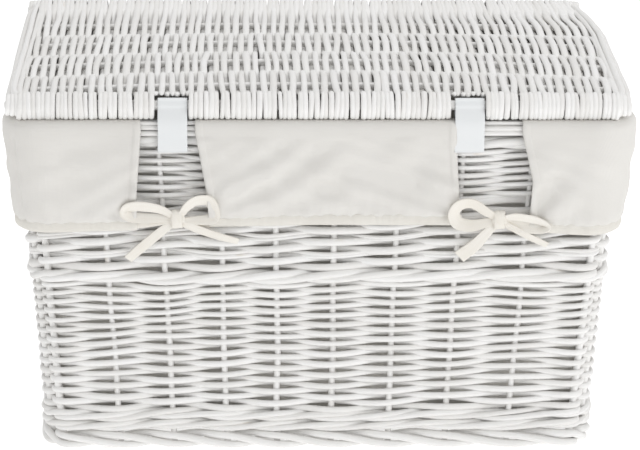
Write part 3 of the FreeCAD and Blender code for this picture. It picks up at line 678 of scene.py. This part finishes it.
rods = Rods()
pitch = 2 * (LID_HALF - EDGE_IN) / (WEAVERS - 1)
widths = RNG.uniform(0.84, 1.16, WEAVERS)
x_places = np.cumsum(widths) - widths / 2
x_places = EDGE_IN - LID_HALF + x_places / widths.sum() * 2 * (LID_HALF - EDGE_IN)
lean_field = Field(1.0, 5, 7, 0.5)
for k, x0 in enumerate(x_places):
    thick = WEAVER * RNG.uniform(0.85, 1.12)
    wide = min(thick * 1.5, pitch * widths[k] * 0.74)
    on_roll = min(wide, pitch * widths[k] * 0.55)
    wrap = ROLL + 0.4 * MM - thick + RNG.uniform(-0.5, 0.3) * MM
    side_s = (x0 / LID_HALF + 1) / 2 * LONG
    # The weavers fan a little near the right end, by the hinge.
    fan = 4 * MM * np.clip(x0 / LID_HALF - 0.25, 0, 0.5)
    x_roll = x0 + 1.8 * MM * float(lean_field(side_s, 0.0)) + fan
    at_band = any(near.x - BARE_PAST < x_roll < far.x + BARE_PAST for near, far in BANDS)
    if at_band:
        points = [on_circle(AXIS_Y, BARE_TIP, 78), on_circle(AXIS_Y, wrap, 60), on_circle(AXIS_Y, wrap, 50)]
    else:
        points = [on_circle(AXIS_Y, wrap + BELOW.get(angle, 0) * MM, angle) for angle in ROUND_ROLL]
    # Over one stick and under the next.
    off = STICK_R * 0.65 + thick * 0.85
    for i, y in enumerate(STICKS):
        side = (1 if k % 2 else -1) * (-1) ** i
        if i:
            points.append(((STICKS[i - 1] + y) / 2, AXIS_Z))
            points.append((y - 24 * MM, AXIS_Z + side * off * 0.75))
        else:
            points.append((y - 23 * MM, AXIS_Z + side * off * 0.6 + 2 * MM))
        for along, share in ((-9, 0.97), (9, 0.97), (24, 0.75)):
            points.append((y + along * MM, AXIS_Z + side * off * share))
    swap = (STICKS[-1] + FAR_Y) / 2
    points.append((swap, AXIS_Z + (3.0 + 1.6 * side) * MM))
    points.append((swap + 12 * MM, AXIS_Z + 6.2 * MM))
    points += [on_circle(FAR_Y, wrap, angle) for angle in ROUND_FAR]
    yz = smooth_path(points, 2)
    y, z = yz[:, 0], yz[:, 1]
    run = np.concatenate([[0], np.cumsum(np.linalg.norm(np.diff(yz, axis=0), axis=1))])
    across = (y - AXIS_Y) / (FAR_Y - AXIS_Y)
    x = x0 + wander(run, 0.7 * MM, 0.05) + 1.8 * MM * lean_field(side_s, across * 0.4)
    x = x + fan * np.clip(0.35 - across, 0, 0.35) / 0.35
    x = np.clip(x, -LID_HALF + 10 * MM, LID_HALF - 10 * MM)
    x = x - end_inset(x, y)
    flatter = np.clip((np.minimum(y - AXIS_Y, FAR_Y - y) - 5 * MM) / (9 * MM), 0, 1)
    for near, far in BANDS:
        # A weaver wound on the rod beside a band keeps clear of it.
        centre = (near.x + far.x) / 2
        clear = (far.x - near.x) / 2 + on_roll * 1.1 + 0.6 * MM
        if not at_band and abs(x_roll - centre) < clear + 6 * MM:
            way = np.sign(x_roll - centre)
            aside = np.clip(clear - (x - centre) * way, 0, 8 * MM)
            x = x + way * aside * (1 - flatter) * (y < 0)
    scale = 1 + wander(run, 0.06, 0.06)
    if at_band:
        scale[:2] *= (0.45, 0.725)
    path = np.stack([x, y, z + crown(x, y)], 1)
    rods.add(path, thick * scale * 0.96, (on_roll + (wide - on_roll) * flatter) * scale, ALONG_X)
# Windings close the four ends of the border rods.
for y, sign in ((AXIS_Y, -1), (AXIS_Y, 1), (FAR_Y, -1), (FAR_Y, 1)):
    for number, x in enumerate((283.5, 288.2, 292.8, 296.8)):
        turn = np.linspace(0, TAU, 24, endpoint=False)
        wind = (9.6 - 0.5 * number + 0.2 * np.sin(3 * turn + number)) * MM
        x_wind = sign * (x * MM + 0.7 * MM * np.sin(turn + number))
        x_wind = x_wind - end_inset(x_wind, np.full(24, y))
        path = np.stack([x_wind, y + wind * np.cos(turn), AXIS_Z + wind * np.sin(turn)], 1)
        rods.add(path, 2.1 * MM, 2.6 * MM, ALONG_X, closed=True)
lid_nodes = ["lid_weave", "lid_hinge_wrap", "lid_far_wrap"]
rods.build("willow_lid_weave", WILLOW, "lid", lid_nodes, "willow_weave")

# The rods along each end of the lid: out from the side rod's middle, up from it, and radius, in millimetres.
EDGE_RODS = (
    *((5.2, 2.5, 3.4), (6.0, -3.2, 3.0), (0.5, 6.2, 3.1)),
    *((-4.8, 4.6, 2.8), (-0.5, -6.0, 3.0), (-5.8, -3.2, 2.6)),
)
for side, sign in (("left", -1), ("right", 1)):
    rods = Rods()
    side_low, side_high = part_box(f"lid_{side}_rod")
    x = (side_low.x + side_high.x) / 2
    straight_rod(rods, (x, AXIS_Y + 4 * MM, AXIS_Z), (x, FAR_Y - 4 * MM, AXIS_Z), SIDE_ROD, UP)
    rods.build(f"willow_lid_{side}_rod", WILLOW, "lid", [f"lid_{side}_rod"], "willow_rods")
    rods = Rods()
    for out, up, thick in EDGE_RODS:
        f = np.linspace(0, 1, 60)
        y = AXIS_Y - 3 * MM + (FAR_Y - AXIS_Y + 6 * MM) * f
        turn = RNG.uniform(0, TAU)
        corner_in = 6 * MM * (np.abs(2 * f - 1) ** 14)
        px = x + sign * (out * MM + 0.6 * MM * np.sin(f * 5 + turn)) - sign * corner_in
        pz = AXIS_Z + up * MM + 0.8 * MM * np.sin(f * 6 + turn + 1) + wander(f, 0.3 * MM, 0.1)
        px = px - end_inset(px, y)
        scale = thick * MM * (1.05 - 0.2 * f) * (1 + wander(f, 0.05, 0.1))
        rods.add(np.stack([px, y, pz], 1), scale, scale, UP)
    rods.build(f"willow_lid_{side}_edge", WILLOW, "lid", [f"lid_{side}_edge"], "willow_weave")

# ---- hinge bands
rim_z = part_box("rim_border")[1].z
for side, (low, high) in zip(("left", "right"), BANDS):
    rods = Rods()
    t = 0.8 * MM  # half the band's thickness
    radius = high.z - AXIS_Z - t
    bend_z = rim_z + 1.2 * MM
    loop = [
        (low.y + t, low.z + 2.5 * MM),
        (low.y + t, (low.z + bend_z) / 2),
        (low.y + t * 1.2, bend_z),
        (AXIS_Y - radius, AXIS_Z - 3 * MM),
        *(on_circle(AXIS_Y, radius, angle) for angle in (165, 130, 90, 50, 15)),
        (high.y - 2.2 * MM, bend_z),
        (high.y - t - 0.3 * MM, (low.z + bend_z) / 2),
        (high.y - t, low.z + 2.5 * MM),
        (high.y - 2.5 * MM, low.z + t),
        (low.y + 2.5 * MM, low.z + t),
    ]
    yz = smooth_path(loop, 6, closed=True)
    path = np.stack([np.full(len(yz), (low.x + high.x) / 2), yz[:, 0], yz[:, 1]], 1)
    wide = (high.x - low.x) / 2 * (1 - 0.012 * np.sin(np.linspace(0, TAU, len(yz))))
    rods.add(path, t, wide, ALONG_X, closed=True, sides=16, flat=0.75)
    rods.build(f"hinge_band_{side}_leather", BAND, "basket", [f"hinge_band_{side}"], "band")

# ---- liner
crease = Field(1.0, 9, 44, 0.06)
broad = Field(1.0, 6, 15, 0.2)
# Where the drawtape pulls on the skirt: x, z, how many folds run out from there, and how strong they are.
TIES = [(-176, 236, 7, 1.0), (-107, 239, 9, 0.45), (133, 239, 9, 1.0), (197, 235, 7, 1.0)]
SEAMS = [(BREAKS[k] + BREAKS[k + 1]) / 2 for k in (5, 7)]  # in the two corners of the left side
# The skirt's section over the rim: out from the wall's outer face, and up, in millimetres.
OVER_RIM = [
    (-15.6, 322), (-15.6, 332), (-14.8, 338.4), (-12, 340.8), (-6, 341.3),
    (0.5, 341.2), (4.0, 339.6), (6.2, 335), (6.9, 327),
]  # fmt: skip
SKIRT_FOOT_OUT = 6.3 * MM
CASING_OUT, CASING_HALF_DEEP, CASING_HALF_HIGH = 4.6 * MM, 2.1, 5.6
CORNER_OUT_HIGH, CORNER_OUT_LOW = 4.5 * MM, 1.8 * MM  # how far the cloth stands off at the corners
CLOTH_THICK, BAG_THICK = 1.1 * MM, 1.0 * MM
# The notches' edges, left and right, by height.
LEFT_NOTCH = ((-171, -103, 0.235), (-169, -105, 0.272), (-162, -113, 0.332))
RIGHT_NOTCH = ((130.5, 195, 0.235), (125.5, 194, 0.285), (121.5, 181, 0.332))


def read_at(at, pairs):
    """The value at a place, between pairs of a place and a value."""
    return np.interp(at, *zip(*pairs))


def pulled(s, z):
    """Folds that run out from the notches' lower corners, where the drawtape pulls on the skirt."""
    total = np.zeros(np.shape(s))
    for x, z_tie, count, size in TIES:
        ds = np.mod(s - front_s(x * MM) + ROUND / 2, ROUND) - ROUND / 2
        dz = z - z_tie * MM
        far = np.hypot(ds, dz)
        fan = np.sin(count * np.arctan2(dz, ds) + x)
        total += size * fan * np.exp(-far / (70 * MM)) * np.clip(far / (25 * MM), 0, 1)
    # Long folds slant down across the middle panel to its right-hand bow.
    ds = s - front_s(60 * MM)
    down = z - 270 * MM + 0.40 * ds
    wave = 26 * MM
    total += 0.55 * np.cos(TAU * down / wave) * np.exp(-((ds / (80 * MM)) ** 2) - (down / wave) ** 2)
    return total


def uneven_share(left, right, cols):
    """Places across a panel from 0 to 1, closer together near its two edges and its seams."""
    hem = 9 * MM / (right - left)
    fine = np.linspace(0, hem, 10)[:-1]
    parts = [fine, np.linspace(hem, 1 - hem, cols - 18), 1 - fine]
    for seam in SEAMS:
        if left < seam < right:
            parts.append((seam - left + np.arange(-9, 10) * 1.13 * MM) / (right - left))
    return np.sort(np.concatenate(parts))


def corner_share(s):
    """1 at the middle of a corner, falling to 0 a little way along the sides."""
    s = np.mod(s, ROUND)
    near = np.full(np.shape(s), 1.0)
    for k in (1, 3, 5, 7):
        gap = np.abs(s - (BREAKS[k] + BREAKS[k + 1]) / 2)
        near = np.minimum(near, np.minimum(gap, ROUND - gap) / 0.075)
    return 0.5 + 0.5 * np.cos(math.pi * np.clip(near, 0, 1))


def skirt_grid(edge_left, edge_right, cols, bottoms):
    """The skirt from inside the rim, over it and down to the hem, between two edges that may slant.

    edge_left and edge_right give the edges' places by height, and bottoms the hem's height by place."""
    profile = smooth_path(np.array(OVER_RIM) * MM, 3)
    last_out, last_z = profile[-1]
    fall = np.linspace(0, 1, 38)[1:]
    share = uneven_share(edge_left[1][1], edge_right[1][1], cols)
    cols = len(share)
    grid = np.zeros((len(profile) + len(fall), cols, 3))
    heights = np.concatenate([profile[:, 1], last_z + (0.24 - last_z) * fall])
    for r, z_row in enumerate(heights):
        left, right = read_at(z_row, edge_left), read_at(z_row, edge_right)
        s = left + (right - left) * share
        corner = corner_share(s)
        if r < len(profile):
            z = np.full(cols, z_row)
            out = np.full(cols, profile[r, 0])
            out = out + corner * CORNER_OUT_HIGH * np.clip((out + 4 * MM) / (10 * MM), 0, 1)
        else:
            f = fall[r - len(profile)]
            z = last_z + (read_at(s, bottoms) - 1.5 * MM - last_z) * f
            # The lowest rows tuck in behind the casing.
            out = last_out * (1 - f) + SKIRT_FOOT_OUT * f - 1.7 * MM * max(0, (f - 0.93) / 0.07) ** 2
            ease = math.sin(math.pi * min(f, 1)) ** 0.5
            slant = s + 0.9 * (0.29 - z) * np.sin(TAU * s / ROUND * 3 + 0.6)
            folds = (crease(slant, z) * 1.7 + broad(s + 0.3 * z, z) * 1.8 + pulled(s, z) * 4.0) * MM
            folds = np.clip(folds, -3.4 * MM, 5 * MM) * (1 - 0.75 * corner)
            gather = np.sin(TAU * s / (13 * MM) + 4 * broad(s, 0.2)) * math.exp(-(1 - f) / 0.14) * 0.55 * MM
            out = out + ease * (folds + 1 * MM) + gather
            out = out + corner * (CORNER_OUT_HIGH * (1 - f) + CORNER_OUT_LOW * f)
            for seam in SEAMS:
                out = out - 1.1 * MM * np.exp(-(((s - seam) / (1.7 * MM)) ** 2))
        # The free edges are rolled under.
        edge = np.minimum(share, 1 - share) * (right - left)
        curl = np.clip(1 - edge / (2.5 * MM), 0, 1)
        out = out + 1.1 * MM * np.clip((6.5 * MM - edge) / (1.2 * MM), 0, 1) - 1.4 * MM * curl**2
        grid[r] = wall(s, z, out)
    return grid


def casing(rods, s_from, s_to, bottoms):
    """The hem casing: a soft flattened tube round the drawtape, with small gathers."""
    s = np.linspace(s_from, s_to, int((s_to - s_from) / (1.7 * MM)))
    small = 0.6 * np.sin(TAU * s / (8.3 * MM) + 5 * crease(s, 0.2))
    gather = small + np.sin(TAU * s / (31 * MM) + 4 * broad(s, 0.2))
    z = read_at(s, bottoms) - 4.0 * MM + 0.25 * MM * gather
    path = wall(s, z, CASING_OUT + 0.25 * MM * gather + corner_share(s) * CORNER_OUT_LOW)
    deep, high = (CASING_HALF_DEEP + 0.24 * gather) * MM, (CASING_HALF_HIGH + 0.2 * gather) * MM
    rods.add(path, deep, high, UP, flat=0.1, sides=12, ends=0.8)


mid_left = [(z, front_s(b * MM)) for a, b, z in LEFT_NOTCH]
mid_right = [(z, front_s(a * MM)) for a, b, z in RIGHT_NOTCH]
round_left = [(z, front_s(b * MM)) for a, b, z in RIGHT_NOTCH]
round_right = [(z, front_s(a * MM) + ROUND) for a, b, z in LEFT_NOTCH]
hem_mid = [(front_s(-0.12), 0.2455), (front_s(0.0), 0.2480), (front_s(0.14), 0.2475)]
hem_round = [
    (front_s(0.19), 0.2410),
    (LONG, 0.2375),
    (LONG + 0.2, 0.2390),
    (BREAKS[4] + LONG / 2, 0.2400),
    (BREAKS[6] + 0.1, 0.2390),
    (ROUND - 0.03, 0.2400),
    (ROUND + front_s(-0.17), 0.2425),
]
grid = skirt_grid(mid_left, mid_right, 170, hem_mid)
middle = cloth("skirt_middle_cloth", grid, CLOTH_THICK, COTTON, "basket", ["skirt_middle"])
grid = skirt_grid(round_left, round_right, 640, hem_round)
around = cloth("skirt_round_cloth", grid, CLOTH_THICK, COTTON, "basket", ["skirt_round"])

for part, start, end, bottoms in (
    ("middle", mid_left[0][1], mid_right[0][1], hem_mid),
    ("round", round_left[0][1], round_right[0][1], hem_round),
):
    rods = Rods()
    casing(rods, start, end, bottoms)
    nodes = [f"hem_casing_{part}", f"drawtape_{part}"]
    rods.build(f"hem_{part}_cloth", HEM, "basket", nodes, "liner_cotton")

# The bag inside: it hangs from the rim and lies on the base.
BAG_IN, BAG_FOLD = 17.6 * MM, 1.4 * MM
bag_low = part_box("liner_bag")[0].z
s_bag = np.linspace(0, ROUND, 300, endpoint=False)
rows = []
for z_row in np.linspace(rim_z - 1 * MM, bag_low + 9 * MM, 44):
    deep = min(1.0, (rim_z - z_row) / 0.06)
    inward = (0.5 + 0.5 * broad(s_bag, z_row)) * 1.6 * MM + (crease(s_bag, z_row * 0.5)) * 0.8 * MM
    rows.append(wall(s_bag, z_row, -(BAG_IN + deep * np.clip(inward, -0.4 * MM, 6 * MM))))
wall_foot = rows[-1] * np.array([1, 1, 0])
for drop, shrink in ((5.0, 0.994), (2.0, 0.985), (0.8, 0.97)):
    rows.append(wall_foot * shrink + UP * (bag_low + drop * MM))
for shrink in np.linspace(0.94, 0.01, 22):
    ring = wall_foot * shrink + UP * (bag_low + 0.7 * MM)
    ring[:, 2] += BAG_FOLD * np.abs(np.sin(ring[:, 0] * 23 + 2 * np.sin(ring[:, 1] * 17))) ** 3
    rows.append(ring)
grid = np.array(rows)
bag = cloth("liner_bag_cloth", grid, BAG_THICK, COTTON, "basket", ["liner_bag"], closed=True)


# ---- bows
def front_point(x, z, out):
    """A point in front of the hinge side's wall, from millimetres."""
    return (x * MM, -half(1, z * MM) - out * MM, z * MM)


def tape_run(rods, points, wide, tilt):
    """A length of tape: points are (x, z, out) in millimetres, wide its width along them, and tilt how far
    its width turns from the wall's face, in degrees."""
    p = smooth_path([front_point(*point) for point in points], 7)
    ahead = unit(np.gradient(p, axis=0))
    flat_side = unit(np.cross(ahead, -ALONG_Y))
    normal = np.cross(flat_side, ahead)
    at = np.linspace(0, 1, len(p))
    turn = np.radians(np.interp(at, np.linspace(0, 1, len(tilt)), tilt))[:, None]
    width = np.interp(at, np.linspace(0, 1, len(wide)), wide) / 2 * MM
    up = flat_side * np.cos(turn) + normal * np.sin(turn)
    rods.add(p, TAPE_HALF_THICK, width, up, sides=12, flat=0.55, ends=0.97)


TAPE_HALF_THICK = 0.8 * MM
# The tapes: points, widths and tilts. Each bow's last two tails come out of the casings beside the notch.
OUT = [7, 7, 7, 6], [0, 5, 10, 0]
LEFT_LOOPS = [
    (
        [(-137, 246, 8), (-149, 255, 10), (-166, 259, 11), (-180, 258, 10)]
        + [(-184, 252, 9), (-175, 247, 7.5), (-155, 246, 7), (-138, 245, 7)],
        [6, 10, 13, 13, 12, 11, 9, 6],
        [25, 25, 28, 30, 30, 28, 25, 20],
    ),
    (
        [(-133, 247, 8), (-126, 258, 10), (-117, 265, 11.5), (-106, 265, 11)]
        + [(-101, 257, 10), (-101, 247, 8.5), (-114, 244, 7.5), (-131, 244, 7)],
        [6, 10, 12, 13, 12, 12, 9, 6],
        [-30, -25, -25, -25, -28, -30, -28, -20],
    ),
]
LEFT_TAILS = [
    ([(-137, 243, 7), (-150, 233, 7.5), (-166, 219, 7), (-182, 204, 6)], [7, 9, 10, 10], [5, 0, 10, 20]),
    ([(-132, 242, 7), (-116, 235, 8), (-97, 228, 7.5), (-78, 222, 6)], [7, 9, 9, 8], [-10, -20, -25, -30]),
    ([(-180, 238, 4.5), (-163, 240, 5.5), (-148, 243, 6.5), (-137, 244, 7)], *OUT),
    ([(-104, 239, 4.5), (-114, 241, 5.5), (-124, 243, 6.5), (-133, 244, 7)], *OUT),
]
RIGHT_LOOPS = [
    (
        [(167, 246, 8), (157, 253, 10), (143, 262, 11), (131, 260, 11), (126, 251, 10)]
        + [(130, 242, 9), (142, 238.5, 8), (157, 241, 7.5), (168, 243, 7)],
        [6, 10, 12, 13, 13, 13, 12, 9, 6],
        [20, 22, 25, 25, 25, 22, 20, 20, 15],
    ),
    (
        [(173, 246, 8), (185, 248, 10), (202, 245.5, 11), (213, 241, 11)]
        + [(215, 236.5, 10), (207, 234, 8.5), (190, 236, 7.5), (173, 241, 7)],
        [7, 10, 10, 9, 8, 8, 8, 6],
        [-30, -28, -30, -45, -55, -45, -35, -20],
    ),
]
RIGHT_TAILS = [
    ([(168, 241, 7), (159, 232, 7.5), (147, 218, 7), (133, 206, 6)], [7, 9, 12, 14], [5, 0, 0, 8]),
    ([(173, 241, 7), (186, 234, 7.5), (202, 225, 7), (216, 218, 6)], [7, 9, 9, 7], [-25, -35, -35, -30]),
    ([(130, 239, 4.5), (143, 240, 5.5), (156, 242, 6.3), (167, 243, 7)], *OUT),
    ([(206, 236.5, 4.5), (195, 238.5, 5.5), (184, 241, 6.3), (174, 243, 7)], *OUT),
]


def knot_turn(kx, kz, lean, high, lift, deep):
    """One turn of tape round a knot, with its sideways lean by angle, and its size, in millimetres."""
    ring = []
    for a in np.linspace(0, TAU, 14, endpoint=False):
        ring.append(front_point(kx + lean(a), kz + high * math.sin(a) + lift, 8.3 - deep * math.cos(a)))
    return np.array(ring)


for side, kx, kz, loop_length, tapes in (
    ("left", -135, 245, 0.19, {"loops": LEFT_LOOPS, "tails": LEFT_TAILS}),
    ("right", 170, 244, 0.22, {"loops": RIGHT_LOOPS, "tails": RIGHT_TAILS}),
):
    rods = Rods()
    ring = knot_turn(kx, kz, lambda a: 0.8 * math.cos(a), 8.4, 0.6, 2.7)
    rods.add(ring, 1.1 * MM, 5.0 * MM, np.array([1.0, 0, 0.12]), closed=True, sides=12, flat=0.4)
    # A second turn of tape crosses the first aslant.
    ring = knot_turn(kx, kz, lambda a: -0.8 - 3.2 * math.sin(a), 7.8, 1.2, 3.1)
    rods.add(ring, 0.9 * MM, 3.2 * MM, np.array([1.0, 0, 0.35]), closed=True, sides=12, flat=0.4)
    f = np.linspace(0, 1, 7)
    core = np.array([front_point(kx - 6.4 + 12.8 * v, kz + 0.3, 8.0) for v in f])
    swell = np.sqrt(np.clip(1 - (2 * f - 1) ** 2 * 0.7, 0, 1))
    rods.add(core, 2.4 * MM * swell, 6.2 * MM * swell, UP, sides=12, ends=0.6)
    knot = rods.build(f"bow_{side}_knot_tape", TAPE, "basket", [f"bow_{side}_knot"], "tie_tape")
    for part, runs in tapes.items():
        rods = Rods()
        for run in runs:
            tape_run(rods, *run)
        rods.build(f"bow_{side}_{part}_tape", TAPE, "basket", [f"bow_{side}_{part}"], "tie_tape")

# ---- stage
scene = bpy.context.scene
FLOOR_HALF, FLOOR_Z, FLOOR_GLOW = 8.0, -0.5 * MM, 0.42
mesh = bpy.data.meshes.new("floor")
corners = [(x * FLOOR_HALF, y * FLOOR_HALF, FLOOR_Z) for x, y in ((-1, -1), (1, -1), (1, 1), (-1, 1))]
mesh.from_pydata(corners, [], [(0, 1, 2, 3)])
floor = bpy.data.objects.new("floor", mesh)
scene.collection.objects.link(floor)
paint, _, shader = nodes_of("floor_paint")
shader.inputs["Base Color"].default_value = (0.92, 0.92, 0.92, 1)
shader.inputs["Roughness"].default_value = 0.8
shader.inputs["Emission Color"].default_value = (1, 1, 1, 1)
shader.inputs["Emission Strength"].default_value = FLOOR_GLOW
mesh.materials.append(paint)

world = bpy.data.worlds.new("soft_studio")
world.use_nodes = True
background = world.node_tree.nodes["Background"]
background.inputs["Color"].default_value = (1.0, 1.0, 1.0, 1)
background.inputs["Strength"].default_value = 0.65
scene.world = world

# Name, place, what it points at, size, power in watts.
LIGHTS = (
    ("key", (2.2, -2.2, 1.9), (0, 0, 0.2), (1.7, 1.4), 23.5),
    ("fill", (-2.4, -2.0, 1.4), (0, 0, 0.2), (1.8, 1.8), 0.5),
    ("top", (0, 0.6, 3.0), (0, 0, 0.3), (2.4, 2.4), 24),
)
for name, at, target, size, power in LIGHTS:
    light = bpy.data.lights.new(name, "AREA")
    light.shape = "RECTANGLE"
    light.size, light.size_y = size
    light.energy = power
    lamp = bpy.data.objects.new(name, light)
    lamp.location = at
    lamp.rotation_euler = (Vector(target) - Vector(at)).to_track_quat("-Z", "Y").to_euler()
    scene.collection.objects.link(lamp)

# The camera, from the photographed view: it looks down on the hinge side.
CAMERA_AT = (-0.079, -2.649, 1.069)
LENS, SENSOR = 154.5, 36
YAW, PITCH, TILT = map(math.radians, (1.83, 18.62, 0.55))
forward = np.array([math.sin(YAW) * math.cos(PITCH), math.cos(YAW) * math.cos(PITCH), -math.sin(PITCH)])
right = np.array([math.cos(YAW), -math.sin(YAW), 0])
above = np.cross(right, forward)
ct, st = math.cos(TILT), math.sin(TILT)
right, above = ct * right + st * above, ct * above - st * right
camera_data = bpy.data.cameras.new("camera")
camera_data.lens, camera_data.sensor_width, camera_data.clip_end = LENS, SENSOR, 50
camera = bpy.data.objects.new("camera", camera_data)
pose = np.eye(4)
pose[:3] = np.stack([right, above, -forward, CAMERA_AT], 1)
camera.matrix_world = Matrix(pose.tolist())
scene.collection.objects.link(camera)
scene.camera = camera
scene.view_settings.view_transform = "Standard"
scene.cycles.diffuse_bounces = 8
